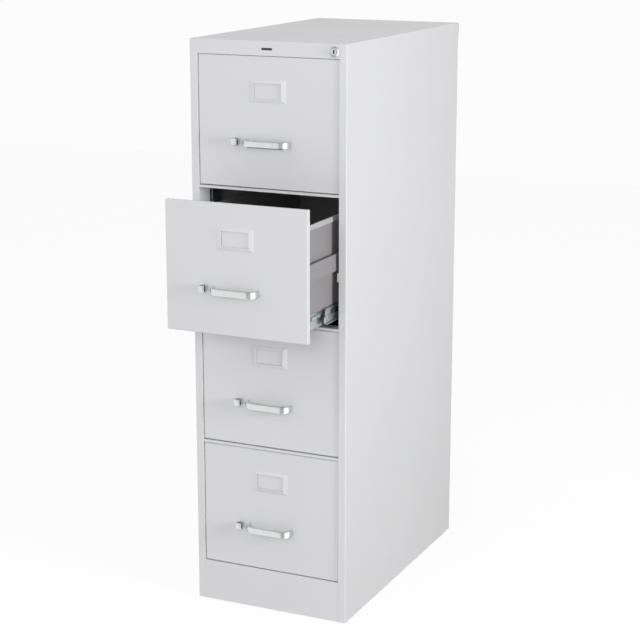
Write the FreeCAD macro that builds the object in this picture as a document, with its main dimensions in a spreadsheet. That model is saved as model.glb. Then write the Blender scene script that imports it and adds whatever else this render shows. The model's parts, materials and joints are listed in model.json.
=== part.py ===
"""Four-drawer vertical filing cabinet, letter size, second drawer from the top pulled part open.

Row frame, millimetres: X runs across the cabinet, Y from its front to its back, Z up.
The origin is the bottom centre of the bounding box of the cabinet as it stands here.
Each sub-part is modelled in a local frame and then moved by its Placement:
  case parts    Y = 0 on the case's front face, Z = 0 on the floor
  drawer parts  Y = 0 on the case's front face with the drawer shut, Z = 0 on the
                bottom edge of that drawer's front
"""
import FreeCAD, Part
import os
import re

import Sketcher

Vector = FreeCAD.Vector

# Driving dimensions, each a named cell of the spreadsheet.
DIMENSIONS = {
    # case
    "case_wide": 381, "case_deep": 673, "case_tall": 1321, "case_lift": 2,
    "steel": 1, "bend": 2.4, "post_wide": 18.5, "jamb_deep": 50, "rear_flange": 12,
    "header_tall": 32, "kick_top": 97.5, "channel_deep": 22, "rail_tall": 5.5, "rail_deep": 30,
    "cap_overhang": 3, "cap_lip": 25, "edge_round": 0.8,
    # drawer fronts
    "front_wide": 341.6, "front_tall": 290, "front_pitch": 299.5, "front_gap": 2,
    "front_recess": 3, "front_deep": 12, "front_round": 1.5, "drawer_open": 160,
    # drawer body
    "tub_wide": 310, "tub_long": 635, "tub_floor": 18, "band_low": 129.5, "band_high": 167.5,
    "band_out": 10, "band_lip": 4, "rim_low": 238.5, "rim_high": 249.5, "rim_out": 2.8,
    "side_low": 95, "back_low": 20, "back_high": 232, "back_inset": 4,
    # slides: half inch of side space, upper pair and lower pair of tracks
    "side_space": 12.7, "slide_long": 600, "slide_start": 35, "middle_low": 18.5,
    "middle_high": 53.5, "middle_shelf": 37, "middle_web": 6.4, "middle_tip": 1.9, "middle_edge": 10.8,
    "track_high": 48.7, "track_low": 41.3, "track_out": 5.6, "plate_high": 54, "plate_low": 38.2,
    "under_high": 32.7, "under_low": 23.5, "under_plate_high": 35.8, "under_plate_low": 18.8,
    "under_out": 4.3, "case_member_start": 20, "case_member_long": 616,
    "drawer_member_start": 16, "drawer_member_long": 618,
    # uprights and base
    "upright_deep": 40, "upright_front": 55, "upright_rear": 600, "upright_top": 1284,
    "base_deep": 46, "base_front": 52, "base_rear": 597, "base_top": 22, "base_low": 4,
    "glide_round": 15, "glide_tall": 5, "stem_round": 4, "stem_top": 32, "glide_spread": 150,
    "nut_round": 7,
    # handle
    "pull_long": 107, "pull_out": 23.5, "pull_bend": 17, "pull_tall": 16, "pull_thick": 7,
    "pull_height": 100,
    # thumb latch
    "latch_left": -83, "latch_wide": 14, "latch_tall": 16, "latch_out": 19, "latch_height": 102,
    "latch_travel": 6, "latch_tip": -171.5, "stem_near": 1, "stem_wide": 4.5, "bar_tall": 11,
    "bar_near": 7, "bar_far": 10,
    # label holder
    "label_wide": 88, "label_tall": 50, "label_low": 189, "label_thick": 2.6, "window_wide": 66,
    "window_tall": 34, "card_thick": 1.2, "card_wide": 78, "label_bevel": 1.4,
    # lock
    "lock_across": 161, "lock_drop": 17, "ring_round": 12, "ring_out": 5, "barrel_round": 9.5,
    "barrel_back": 12, "plug_round": 7.4, "plug_play": 0.05, "key_wide": 2.8, "key_tall": 9,
    "key_deep": 3, "crank": 9, "pin_round": 2, "pin_play": 0.7, "cam_thick": 2,
    "bar_across": 176, "lock_bar_wide": 10, "lock_bar_near": 16.5, "lock_bar_thick": 2,
    "lock_bar_low": 180, "lug_in": 161, "lug_tall": 20, "catch_low": 91, "catch_tall": 8,
    "catch_gap": 2, "catch_near": 20, "catch_thick": 1.5, "catch_leg": 16, "catch_out": 166.5,
    "slot_play": 3, "weld_gap": 0.05,
    # badge plate
    "badge_wide": 25, "badge_tall": 5, "badge_thick": 0.8,
}
DRAWERS = 4
OPEN_DRAWER = 3
FRONT_PLANE = "((drawer_open - front_recess + pull_out + pull_thick / 2) - (case_deep + cap_overhang)) / 2"
CRANK_DROP = "crank * sqrt(0.5)"

doc = FreeCAD.newDocument("filing_cabinet")
sheet = doc.addObject("Spreadsheet::Sheet", "dims")
for row, (alias, size) in enumerate(DIMENSIONS.items(), start=1):
    sheet.set(f"A{row}", alias)
    sheet.set(f"B{row}", str(size))
    sheet.setAlias(f"B{row}", alias)
doc.recompute()
sub_parts = []


def bound(size):
    """A size written with the sheet's names, as an expression that any object can hold."""
    return re.sub(r"[a-z_]+", lambda name: "dims." * (name[0] in DIMENSIONS) + name[0], str(size))


def value(size):
    return float(sheet.evalExpression(str(size)))


# ---------------------------------------------------------------- modelling helpers
def new_body(label):
    body = doc.addObject("PartDesign::Body", label)
    body.Label = label
    body.AllowCompound = True
    sub_parts.append(body)
    return body


def origin_plane(body, role):
    return next(feature for feature in body.Origin.OriginFeatures if feature.Role == role)


def new_sketch(body, plane, offset):
    """A sketch on the body's XY, XZ or YZ plane, moved by offset along +Z, +Y or +X."""
    sketch = body.newObject("Sketcher::SketchObject", body.Label + "_sketch")
    sketch.AttachmentSupport = [(origin_plane(body, plane + "_Plane"), "")]
    sketch.MapMode = "FlatFace"
    sign = "-1 * " if plane == "XZ" else ""
    sketch.setExpression("AttachmentOffset.Base.z", f"{sign}({bound(offset)})")
    return sketch


def draw_outline(sketch, points):
    """Close a polygon through the points, each held from the origin by its own two sizes."""
    first = sketch.GeometryCount
    count = len(points)
    at = [Vector(value(across), value(along), 0) for across, along in points]
    for index in range(count):
        sketch.addGeometry(Part.LineSegment(at[index], at[(index + 1) % count]), False)
    for index, (across, along) in enumerate(points):
        line = first + index
        after = first + (index + 1) % count
        sketch.addConstraint(Sketcher.Constraint("Coincident", line, 2, after, 1))
        for kind, size in (("DistanceX", across), ("DistanceY", along)):
            held = sketch.addConstraint(Sketcher.Constraint(kind, -1, 1, line, 1, value(size)))
            sketch.setExpression(f"Constraints[{held}]", bound(size))


def draw_circle(sketch, across, along, radius):
    centre = Vector(value(across), value(along), 0)
    circle = sketch.addGeometry(Part.Circle(centre, Vector(0, 0, 1), value(radius)), False)
    for kind, size in (("DistanceX", across), ("DistanceY", along)):
        held = sketch.addConstraint(Sketcher.Constraint(kind, -1, 1, circle, 3, value(size)))
        sketch.setExpression(f"Constraints[{held}]", bound(size))
    held = sketch.addConstraint(Sketcher.Constraint("Radius", circle, value(radius)))
    sketch.setExpression(f"Constraints[{held}]", bound(radius))


def rectangle(left, right, low, high):
    return [(left, low), (right, low), (right, high), (left, high)]


def draw(sketch, shapes):
    """Shapes are polygons (lists of points) or circles (tuples of across, along, radius)."""
    for shape in shapes:
        if isinstance(shape, tuple):
            draw_circle(sketch, *shape)
        else:
            draw_outline(sketch, shape)


def pad(body, plane, start, end, *shapes):
    """Add material between two positions on the axis square to the plane."""
    sketch = new_sketch(body, plane, end if plane == "XZ" else start)
    draw(sketch, shapes)
    feature = body.newObject("PartDesign::Pad", body.Label + "_pad")
    feature.Profile = sketch
    feature.setExpression("Length", bound(f"({end}) - ({start})"))
    doc.recompute()
    return feature


def cut(body, plane, start, end, *shapes):
    """Remove material between two positions on the axis square to the plane."""
    before = body.Shape.Volume
    sketch = new_sketch(body, plane, start if plane == "XZ" else end)
    draw(sketch, shapes)
    feature = body.newObject("PartDesign::Pocket", body.Label + "_pocket")
    feature.Profile = sketch
    feature.setExpression("Length", bound(f"({end}) - ({start})"))
    doc.recompute()
    if body.Shape.Volume > before - 0.01:
        raise RuntimeError(f"a pocket in {body.Label} removes nothing")
    return feature


def mirror_across(body, features):
    """Repeat features on the other side of the cabinet's middle plane."""
    feature = body.newObject("PartDesign::Mirrored", body.Label + "_mirror")
    feature.Originals = features
    feature.MirrorPlane = (origin_plane(body, "YZ_Plane"), [""])
    body.Tip = feature
    doc.recompute()
    return feature


def repeat_up(body, features, count, pitch):
    """Repeat features upwards at the drawers' pitch."""
    feature = body.newObject("PartDesign::LinearPattern", body.Label + "_row")
    feature.Originals = features
    feature.Direction = (origin_plane(body, "Z_Axis"), [""])
    feature.Occurrences = count
    feature.setExpression("Length", bound(f"{count - 1} * ({pitch})"))
    body.Tip = feature
    doc.recompute()
    return feature


def round_edges(body, radius, wanted):
    """Fillet the edges of the body's last feature for which wanted(box of the edge) is true."""
    base = body.Tip
    names = [f"Edge{number}" for number, edge in enumerate(base.Shape.Edges, start=1)
             if wanted(edge.BoundBox)]
    feature = body.newObject("PartDesign::Fillet", body.Label + "_fillet")
    feature.Base = (base, names)
    feature.setExpression("Radius", bound(radius))
    doc.recompute()
    if not names:
        raise RuntimeError(f"no edge of {body.Label} to round")
    return feature


def near(position, size):
    return abs(position - value(size)) < 0.01


def folded(path, gauge="steel"):
    """Outline of a folded sheet: the path is one skin, the other lies to its left.

    Every stretch of the path runs along one of the sketch's axes.
    """
    at = [(value(across), value(along)) for across, along in path]
    sides = []
    for (x1, y1), (x2, y2) in zip(at, at[1:]):
        sides.append((int(y1 > y2) - int(y2 > y1), int(x2 > x1) - int(x1 > x2)))
    skin = []
    for index, (across, along) in enumerate(path):
        touching = {sides[max(index - 1, 0)], sides[min(index, len(sides) - 1)]}
        step = [sum(side[axis] for side in touching) for axis in (0, 1)]
        skin.append((f"({across}) + {step[0]} * {gauge}", f"({along}) + {step[1]} * {gauge}"))
    return list(path) + skin[::-1]


def mirrored(points):
    """The same outline on the other side of the sketch's upright axis."""
    return [(f"-1 * ({across})", along) for across, along in points]


def place_in_case(body):
    body.setExpression("Placement.Base.y", bound(FRONT_PLANE))


def place_in_drawer(body, number, travel_share="1"):
    """Move a drawer's piece to its own opening; the open drawer's pieces come forward."""
    travel = f"{travel_share} * drawer_open" if number == OPEN_DRAWER else "0"
    body.setExpression("Placement.Base.y", bound(f"{FRONT_PLANE} - {travel}"))
    body.setExpression("Placement.Base.z", bound(drawer_base(number)))


def drawer_base(number):
    """Height of the bottom edge of a drawer's front; drawer 1 is the lowest."""
    return f"kick_top + front_gap + {number - 1} * front_pitch"


# ---------------------------------------------------------------- case
INNER = "(case_wide / 2 - post_wide)"
OUTER = "(case_wide / 2)"
CAP_UNDER = "(case_tall - steel)"
UPRIGHT_FACE = "(tub_wide / 2 + side_space)"


def side_panel(side):
    """Side sheet with the front post, the jamb behind it and a flange at the back in one fold."""
    body = new_body(f"side_panel_{side}")
    profile = folded([
        (f"{OUTER} - rear_flange", "case_deep"), (OUTER, "case_deep"),
        (OUTER, "0"), (INNER, "0"), (INNER, "jamb_deep")][::-1])
    if side == "left":
        profile = mirrored(profile)
    pad(body, "XY", "case_lift", CAP_UNDER, profile)
    sign = -1 if side == "left" else 1
    corner = sign * value(OUTER)
    skin = sign * value(f"{OUTER} - steel")
    round_edges(body, "bend", lambda box: abs(box.XMin - corner) < 0.01
                and abs(box.XMax - corner) < 0.01 and near(box.YMax, 0) and box.ZLength > 100)
    round_edges(body, "bend - steel", lambda box: abs(box.XMin - skin) < 0.01
                and abs(box.XMax - skin) < 0.01 and near(box.YMax, "steel") and box.ZLength > 100)
    round_edges(body, "edge_round", lambda box: near(abs(box.XMin), INNER)
                and near(box.YMax, 0) and box.ZLength > 100)
    if side == "left":
        strike_slots(body)
    else:
        lug_slots(body)
    place_in_case(body)


def strike_slots(body):
    """Openings in the left jamb, one for each thumb latch's bar."""
    low = f"{drawer_base(1)} + latch_height - bar_tall / 2 - 1.5"
    slot = cut(body, "YZ", f"-1 * {INNER} - steel - 1", f"-1 * {INNER} + 1",
               rectangle("front_recess + bar_near - 2", "front_recess + bar_far + 2",
                         low, f"{low} + bar_tall + 3"))
    repeat_up(body, [slot], DRAWERS, "front_pitch")


def lug_slots(body):
    """Openings in the right jamb for the lock bar's lugs, and a notch for its drive tab."""
    low = f"{drawer_base(1)} + catch_low - slot_play - catch_gap"
    high = f"{low} + lug_tall + 2 * {CRANK_DROP} + 2 * slot_play + catch_gap"
    slot = cut(body, "YZ", f"{INNER} - 1", f"{INNER} + steel + 1",
               rectangle("lock_bar_near - 2", "lock_bar_near + lock_bar_thick + 2", low, high))
    repeat_up(body, [slot], DRAWERS, "front_pitch")
    cut(body, "YZ", f"{INNER} - 1", f"{INNER} + steel + 0.5",
        rectangle("lock_bar_near - 6", "jamb_deep + 1", "case_tall - header_tall", "case_tall"))


def back_panel():
    body = new_body("back_panel")
    half = f"({OUTER} - steel - 0.2)"
    pad(body, "XZ", "case_deep - 2 * steel", "case_deep - steel",
        rectangle(f"-1 * {half}", half, "case_lift", CAP_UNDER))
    place_in_case(body)


def top_cap():
    """Top sheet that overhangs the back and folds down there."""
    body = new_body("top_cap")
    profile = folded([("0", CAP_UNDER), ("case_deep + cap_overhang - steel", CAP_UNDER),
                      ("case_deep + cap_overhang - steel", "case_tall - cap_lip")])
    pad(body, "YZ", f"-1 * {OUTER}", OUTER, profile)
    round_edges(body, "bend", lambda box: near(abs(box.XMin), OUTER) and near(abs(box.XMax), OUTER)
                and box.XLength < 0.1 and near(box.YMax, 0))
    round_edges(body, "edge_round", lambda box: near(box.ZMin, "case_tall")
                and near(box.ZMax, "case_tall"))
    place_in_case(body)


def top_rail():
    """Header above the top drawer, with a hole for the lock."""
    body = new_body("top_rail")
    low = "(case_tall - header_tall)"
    profile = folded([("rail_deep", low), ("0", low), ("0", CAP_UNDER), ("channel_deep", CAP_UNDER)],
                     "-1 * steel")
    pad(body, "YZ", f"-1 * {INNER}", INNER, profile)
    round_edges(body, "edge_round", lambda box: near(box.ZMin, low) and near(box.ZMax, low)
                and near(box.YMax, 0) and box.XLength > 100)
    cut(body, "XZ", "-1", "steel + 1", ("lock_across", "case_tall - lock_drop", "barrel_round + 0.3"))
    place_in_case(body)


def cross_rails():
    """Three narrow channels between the drawers."""
    body = new_body("cross_rails")
    low = f"({drawer_base(2)} - (front_pitch - front_tall + rail_tall) / 2)"
    profile = folded([("rail_deep", low), ("0", low), ("0", f"{low} + rail_tall"),
                      ("rail_deep", f"{low} + rail_tall")], "-1 * steel")
    rail = pad(body, "YZ", f"-1 * {INNER}", INNER, profile)
    repeat_up(body, [rail], DRAWERS - 1, "front_pitch")
    place_in_case(body)


def kick_panel():
    body = new_body("kick_panel")
    profile = folded([("channel_deep", "case_lift"), ("0", "case_lift"), ("0", "kick_top"),
                      ("channel_deep", "kick_top")], "-1 * steel")
    pad(body, "YZ", f"-1 * {INNER}", INNER, profile)
    round_edges(body, "edge_round", lambda box: near(box.ZMin, "kick_top")
                and near(box.YMax, 0) and box.XLength > 100)
    place_in_case(body)


def slide_uprights():
    """Four channels, welded inside the side sheets, that carry the slides."""
    body = new_body("slide_uprights")
    made = []
    for start in ("upright_front", "upright_rear"):
        profile = folded([(f"{OUTER} - steel", start), (UPRIGHT_FACE, start),
                          (UPRIGHT_FACE, f"{start} + upright_deep"),
                          (f"{OUTER} - steel", f"{start} + upright_deep")], "-1 * steel")
        made.append(pad(body, "XY", "base_top", "upright_top", profile))
    mirror_across(body, made)
    place_in_case(body)


def base_channels():
    """Two channels across the bottom of the case that hold the levelling glides."""
    body = new_body("base_channels")
    half = f"({OUTER} - steel)"
    made = []
    for start in ("base_front", "base_rear"):
        profile = folded([(start, "base_low"), (start, "base_top"),
                          (f"{start} + base_deep", "base_top"),
                          (f"{start} + base_deep", "base_low")], "-1 * steel")
        made.append(pad(body, "YZ", f"-1 * {half}", half, profile))
    holes = [(f"{sign} * glide_spread", f"{start} + base_deep / 2", "stem_round + 0.3")
             for sign in (-1, 1) for start in ("base_front", "base_rear")]
    cut(body, "XY", "base_top - steel - 1", "base_top + 1", *holes)
    place_in_case(body)


def levelling_glides():
    """Four feet, each a pad, a threaded stem and a nut under the base channel."""
    body = new_body("levelling_glides")
    spots = [(f"{sign} * glide_spread", f"{start} + base_deep / 2")
             for sign in (-1, 1) for start in ("base_front", "base_rear")]
    pad(body, "XY", "0", "glide_tall", *[(across, along, "glide_round") for across, along in spots])
    pad(body, "XY", "glide_tall", "stem_top", *[(across, along, "stem_round") for across, along in spots])
    nuts = []
    for across, along in spots:
        nuts.append([(f"{across} + {x} * nut_round", f"{along} + {y} * nut_round")
                     for x, y in ((1, 0), (0.5, 0.866), (-0.5, 0.866), (-1, 0), (-0.5, -0.866),
                                  (0.5, -0.866))])
    pad(body, "XY", "base_top - steel - 5", "base_top - steel", *nuts)
    round_edges(body, "edge_round", lambda box: near(box.ZMin, "glide_tall") and near(box.ZMax, "glide_tall")
                and box.XLength > value("glide_round"))
    place_in_case(body)


def slide_case_members():
    """Eight fixed slide members, two for each drawer, fastened to the uprights."""
    body = new_body("slide_case_members")
    base = drawer_base(1)
    low = f"{base} + under_low + steel"
    high = f"{base} + under_high - steel"
    inner = f"{UPRIGHT_FACE} - under_out + steel"
    profile = folded([(UPRIGHT_FACE, f"{base} + under_plate_low"), (UPRIGHT_FACE, low), (inner, low),
                      (inner, high), (UPRIGHT_FACE, high), (UPRIGHT_FACE, f"{base} + under_plate_high")])
    member = pad(body, "XZ", "case_member_start", "case_member_start + case_member_long",
                 profile, mirrored(profile))
    repeat_up(body, [member], DRAWERS, "front_pitch")
    place_in_case(body)


def badge():
    """Small plain plate on the header."""
    body = new_body("badge")
    pad(body, "XZ", "-1 * badge_thick", "0",
        rectangle("-1 * badge_wide / 2", "badge_wide / 2", "case_tall - lock_drop - badge_tall / 2",
                  "case_tall - lock_drop + badge_tall / 2"))
    place_in_case(body)


# ---------------------------------------------------------------- lock
LOCK_HEIGHT = "(case_tall - lock_drop)"


def lock_housing():
    """Collar and barrel of the cam lock, fixed in the header."""
    body = new_body("lock_housing")
    pad(body, "XZ", "-1 * ring_out", "0", ("lock_across", LOCK_HEIGHT, "ring_round"))
    round_edges(body, "2 * edge_round", lambda box: near(box.YMin, "-1 * ring_out") and box.XLength > 20
                and box.YLength < 0.1)
    pad(body, "XZ", "0", "barrel_back", ("lock_across", LOCK_HEIGHT, "barrel_round"))
    cut(body, "XZ", "-1 * ring_out - 1", "barrel_back + 1",
        ("lock_across", LOCK_HEIGHT, "plug_round + plug_play"))
    place_in_case(body)


def lock_plug():
    """Turning plug with a keyway at the front and a crank with its pin at the back."""
    body = new_body("lock_plug")
    pad(body, "XZ", "0.6 - ring_out", "barrel_back + 0.5", ("lock_across", LOCK_HEIGHT, "plug_round"))
    cut(body, "XZ", "-1 * ring_out - 1", "key_deep - ring_out",
        rectangle("lock_across - key_wide / 2", "lock_across + key_wide / 2",
                  f"{LOCK_HEIGHT} - key_tall / 2", f"{LOCK_HEIGHT} + key_tall / 2"))
    reach = f"({CRANK_DROP})"
    arm_half = "pin_round * sqrt(0.5) * 1.4"
    arm = [(f"lock_across - {arm_half}", f"{LOCK_HEIGHT} + {arm_half}"),
           (f"lock_across + {arm_half}", f"{LOCK_HEIGHT} - {arm_half}"),
           (f"lock_across + {reach} + 2 * {arm_half}", f"{LOCK_HEIGHT} + {reach}"),
           (f"lock_across + {reach}", f"{LOCK_HEIGHT} + {reach} + 2 * {arm_half}")]
    pad(body, "XZ", "barrel_back + 0.5", "barrel_back + 0.5 + cam_thick", arm)
    pad(body, "XZ", "barrel_back + 0.5 + cam_thick", "lock_bar_near + lock_bar_thick + 1",
        (f"lock_across + {reach}", f"{LOCK_HEIGHT} + {reach}", "pin_round"))
    place_in_case(body)


def lock_bar():
    """Upright bar behind the right post: the plug's pin moves it, its lugs block the drawers.

    The slotted drive tab and the lugs are plates of their own, welded to the bar's edge.
    """
    body = new_body("lock_bar")
    start = "lock_bar_near"
    end = "lock_bar_near + lock_bar_thick"
    raised = f"({LOCK_HEIGHT} + {CRANK_DROP})"
    tab = 5
    pad(body, "XZ", start, end,
        rectangle("bar_across", "bar_across + lock_bar_wide", "lock_bar_low", f"{raised} + {tab}"))
    pad(body, "XZ", start, end,
        rectangle(f"lock_across + {CRANK_DROP} - pin_round - 3.5", "bar_across - weld_gap",
                  f"{raised} - {tab}", f"{raised} + {tab}"))
    cut(body, "XZ", f"{start} - 1", f"{end} + 1",
        rectangle(f"lock_across + {CRANK_DROP} - pin_round - 1", "lock_across + crank + pin_round + 1",
                  f"{raised} - pin_round - pin_play", f"{raised} + pin_round + pin_play"))
    low = f"({drawer_base(1)} + catch_low + catch_tall + catch_gap)"
    lug = pad(body, "XZ", start, end,
              rectangle("lug_in", "bar_across - weld_gap", low, f"{low} + lug_tall"))
    repeat_up(body, [lug], DRAWERS, "front_pitch")
    place_in_case(body)


# ---------------------------------------------------------------- drawers
FACE = "front_recess"
FRONT_BACK = "(front_recess + front_deep)"


def drawer_front(number):
    """Pressed pan with rounded edges, open at the back, slotted for the latch."""
    body = new_body(f"drawer_front_{number}")
    pad(body, "XZ", FACE, FRONT_BACK,
        rectangle("-1 * front_wide / 2", "front_wide / 2", "0", "front_tall"))
    round_edges(body, "front_round", lambda box: not near(box.YMax, FRONT_BACK)
                or not near(box.YMin, FRONT_BACK))
    cut(body, "XZ", f"{FACE} + steel", f"{FRONT_BACK} + 1",
        rectangle("-1 * front_wide / 2 + steel", "front_wide / 2 - steel", "steel",
                  "front_tall - steel"))
    cut(body, "XZ", f"{FACE} - 1", f"{FACE} + steel + 1",
        rectangle("latch_left + stem_near - 0.5", "latch_left + stem_near + stem_wide + latch_travel + 0.5",
                  "latch_height - latch_tall / 2 + 3", "latch_height + latch_tall / 2 - 3"))
    cut(body, "YZ", "-1 * front_wide / 2 - 1", "-1 * front_wide / 2 + steel + 1",
        rectangle(f"{FACE} + bar_near - 0.6", f"{FACE} + bar_far + 0.6",
                  "latch_height - bar_tall / 2 - 0.6", "latch_height + bar_tall / 2 + 0.6"))
    place_in_drawer(body, number)


def drawer_liner(number):
    """Flat sheet that closes the back of the pressed front."""
    body = new_body(f"drawer_liner_{number}")
    half = "(front_wide / 2 - steel - 0.1)"
    pad(body, "XZ", f"{FRONT_BACK} - steel", FRONT_BACK,
        rectangle(f"-1 * {half}", half, "steel + 0.1", "front_tall - steel - 0.1"))
    place_in_drawer(body, number)


def drawer_tub(number):
    """Bottom and sides in one fold, with a boxed stiffening band along the top of each side."""
    body = new_body(f"drawer_tub_{number}")
    half = "tub_wide / 2"
    right = [(half, "tub_floor"), (half, "band_low"), (f"{half} + band_out", "band_low"),
             (f"{half} + band_out", "band_high"), (f"{half} + band_out - band_lip", "band_high")]
    pad(body, "XZ", FRONT_BACK, f"{FRONT_BACK} + tub_long",
        folded(mirrored(right)[::-1] + right))
    place_in_drawer(body, number)


def side_extensions(number):
    """Upper side sheets, hemmed outwards at the top as rails for hanging folders."""
    body = new_body(f"side_extensions_{number}")
    inner = "(tub_wide / 2 - 2 * steel)"
    profile = folded([(inner, "side_low"), (inner, "rim_high"),
                      (f"{inner} + steel + rim_out", "rim_high"),
                      (f"{inner} + steel + rim_out", "rim_low")], "-1 * steel")
    pad(body, "XZ", FRONT_BACK, f"{FRONT_BACK} + tub_long", profile, mirrored(profile))
    place_in_drawer(body, number)


def lock_catch(number):
    """Small angle on the drawer's right side that the lock bar's lug stands in front of."""
    body = new_body(f"lock_catch_{number}")
    side = "tub_wide / 2"
    profile = folded([("catch_out", "catch_near"), (side, "catch_near"), (side, "catch_near + catch_leg")],
                     "-1 * catch_thick")
    pad(body, "XY", "catch_low", "catch_low + catch_tall", profile)
    place_in_drawer(body, number)


def drawer_back(number):
    """Rear wall between the drawer's sides, with a flange at its top."""
    body = new_body(f"drawer_back_{number}")
    rear = f"({FRONT_BACK} + tub_long - back_inset)"
    half = "(tub_wide / 2 - 2 * steel - 0.1)"
    profile = folded([(rear, "back_low"), (rear, "back_high"), (f"{rear} - 12", "back_high")])
    pad(body, "YZ", f"-1 * {half}", half, profile)
    place_in_drawer(body, number)


def handle(number):
    """Bow pull: one flat-oval section swept out of the front, across and back in."""
    body = new_body(f"handle_{number}")
    path = body.newObject("Sketcher::SketchObject", body.Label + "_path")
    path.AttachmentSupport = [(origin_plane(body, "XY_Plane"), "")]
    path.MapMode = "FlatFace"
    path.setExpression("AttachmentOffset.Base.z", bound("pull_height"))
    half = value("pull_long / 2")
    out = value("front_recess - pull_out")
    radius = value("pull_bend")
    turn = radius * (1 - 0.5 ** 0.5)
    left = [Vector(-half, value(FACE), 0), Vector(-half, out + radius, 0),
            Vector(-half + turn, out + turn, 0), Vector(-half + radius, out, 0)]
    right = [Vector(-point.x, point.y, 0) for point in left[::-1]]
    path.addGeometry(Part.LineSegment(left[0], left[1]), False)
    path.addGeometry(Part.Arc(left[1], left[2], left[3]), False)
    path.addGeometry(Part.LineSegment(left[3], right[0]), False)
    path.addGeometry(Part.Arc(right[0], right[1], right[2]), False)
    path.addGeometry(Part.LineSegment(right[2], right[3]), False)
    section = new_sketch(body, "XZ", FACE)
    oval(section, "-1 * pull_long / 2", "pull_height", "pull_thick", "pull_tall")
    pipe = body.newObject("PartDesign::AdditivePipe", body.Label + "_pipe")
    pipe.Profile = section
    pipe.Spine = (path, ["Edge1", "Edge2", "Edge3", "Edge4", "Edge5"])
    doc.recompute()
    place_in_drawer(body, number)


def oval(sketch, across, along, wide, tall):
    """Flat oval: a rectangle with a half circle at its top and bottom."""
    x, y = value(across), value(along)
    radius = value(wide) / 2
    reach = value(tall) / 2 - radius
    corners = [Vector(x - radius, y - reach, 0), Vector(x + radius, y - reach, 0),
               Vector(x + radius, y + reach, 0), Vector(x - radius, y + reach, 0)]
    bottom = Vector(x, y - reach - radius, 0)
    top = Vector(x, y + reach + radius, 0)
    sketch.addGeometry(Part.Arc(corners[0], bottom, corners[1]), False)
    sketch.addGeometry(Part.LineSegment(corners[1], corners[2]), False)
    sketch.addGeometry(Part.Arc(corners[2], top, corners[3]), False)
    sketch.addGeometry(Part.LineSegment(corners[3], corners[0]), False)


def label_holder(number):
    """Stamped frame with a window, hollow behind it so that a card slides in from the top."""
    body = new_body(f"label_holder_{number}")
    high = "(label_low + label_tall)"
    pad(body, "XZ", f"{FACE} - label_thick", FACE,
        rectangle("-1 * label_wide / 2", "label_wide / 2", "label_low", high))
    plate = body.Tip
    names = [f"Edge{index}" for index, edge in enumerate(plate.Shape.Edges, start=1)
             if near(edge.BoundBox.YMax, f"{FACE} - label_thick")]
    bevel = body.newObject("PartDesign::Chamfer", body.Label + "_bevel")
    bevel.Base = (plate, names)
    bevel.setExpression("Size", bound("label_bevel"))
    doc.recompute()
    low = "(label_low + (label_tall - window_tall) / 2)"
    cut(body, "XZ", f"{FACE} - label_thick - 1", f"{FACE} + 1",
        rectangle("-1 * window_wide / 2", "window_wide / 2", low, f"{low} + window_tall"))
    cut(body, "XZ", f"{FACE} - card_thick", f"{FACE} + 1",
        rectangle("-1 * card_wide / 2", "card_wide / 2", "label_low + 4", f"{high} + 1"))
    place_in_drawer(body, number)


def thumb_latch(number):
    """Thumb button on a stem through the front, and the bar that reaches the left jamb."""
    body = new_body(f"thumb_latch_{number}")
    half = "latch_tall / 2"
    button = pad(body, "XZ", f"{FACE} - latch_out", f"{FACE} - 0.8",
                 rectangle("latch_left", "latch_left + latch_wide", f"latch_height - {half}",
                           f"latch_height + {half}"))
    round_edges(body, "front_round", lambda box: not near(box.YMin, f"{FACE} - 0.8"))
    pad(body, "XZ", f"{FACE} - 0.8", f"{FACE} + bar_near",
        rectangle("latch_left + stem_near", "latch_left + stem_near + stem_wide",
                  f"latch_height - {half} + 4", f"latch_height + {half} - 4"))
    pad(body, "XZ", f"{FACE} + bar_near", f"{FACE} + bar_far",
        rectangle("latch_tip", "latch_left + latch_wide", "latch_height - bar_tall / 2",
                  "latch_height + bar_tall / 2"))
    place_in_drawer(body, number)


def slide_drawer_members(number):
    """Hat-section tracks on the drawer's sides."""
    body = new_body(f"slide_drawer_members_{number}")
    half = "tub_wide / 2"
    low = "track_low + steel"
    high = "track_high - steel"
    outer = f"{half} + track_out - steel"
    profile = folded([(half, "plate_low"), (half, low), (outer, low), (outer, high), (half, high),
                      (half, "plate_high")], "-1 * steel")
    pad(body, "XZ", "drawer_member_start", "drawer_member_start + drawer_member_long",
        profile, mirrored(profile))
    place_in_drawer(body, number)


def slide_middle_members(number):
    """Middle members: a channel open to the drawer above a channel open to the case."""
    body = new_body(f"slide_middle_members_{number}")
    web = "(tub_wide / 2 + middle_web)"
    skin = f"({web} + steel)"
    tip = "(tub_wide / 2 + middle_tip)"
    edge = "(tub_wide / 2 + middle_edge)"
    shelf_low = "(middle_shelf - steel / 2)"
    shelf_high = "(middle_shelf + steel / 2)"
    profile = [(web, "middle_low"), (edge, "middle_low"), (edge, "middle_low + steel"),
               (skin, "middle_low + steel"), (skin, shelf_low), (edge, shelf_low),
               (edge, shelf_high), (skin, shelf_high), (skin, "middle_high"),
               (tip, "middle_high"), (tip, "middle_high - steel"), (web, "middle_high - steel"),
               (web, shelf_high), (tip, shelf_high), (tip, shelf_low), (web, shelf_low)]
    pad(body, "XZ", "slide_start", "slide_start + slide_long", profile, mirrored(profile))
    place_in_drawer(body, number, "0.5")


# ---------------------------------------------------------------- build, check and write
def build():
    for side in ("left", "right"):
        side_panel(side)
    for case_part in (back_panel, top_cap, top_rail, cross_rails, kick_panel, slide_uprights,
                      base_channels, levelling_glides, slide_case_members, badge,
                      lock_housing, lock_plug, lock_bar):
        case_part()
    for number in range(1, DRAWERS + 1):
        for drawer_part in (drawer_front, drawer_liner, drawer_tub, side_extensions, lock_catch,
                            drawer_back, handle, label_holder, thumb_latch,
                            slide_drawer_members, slide_middle_members):
            drawer_part(number)
    doc.recompute()


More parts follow.
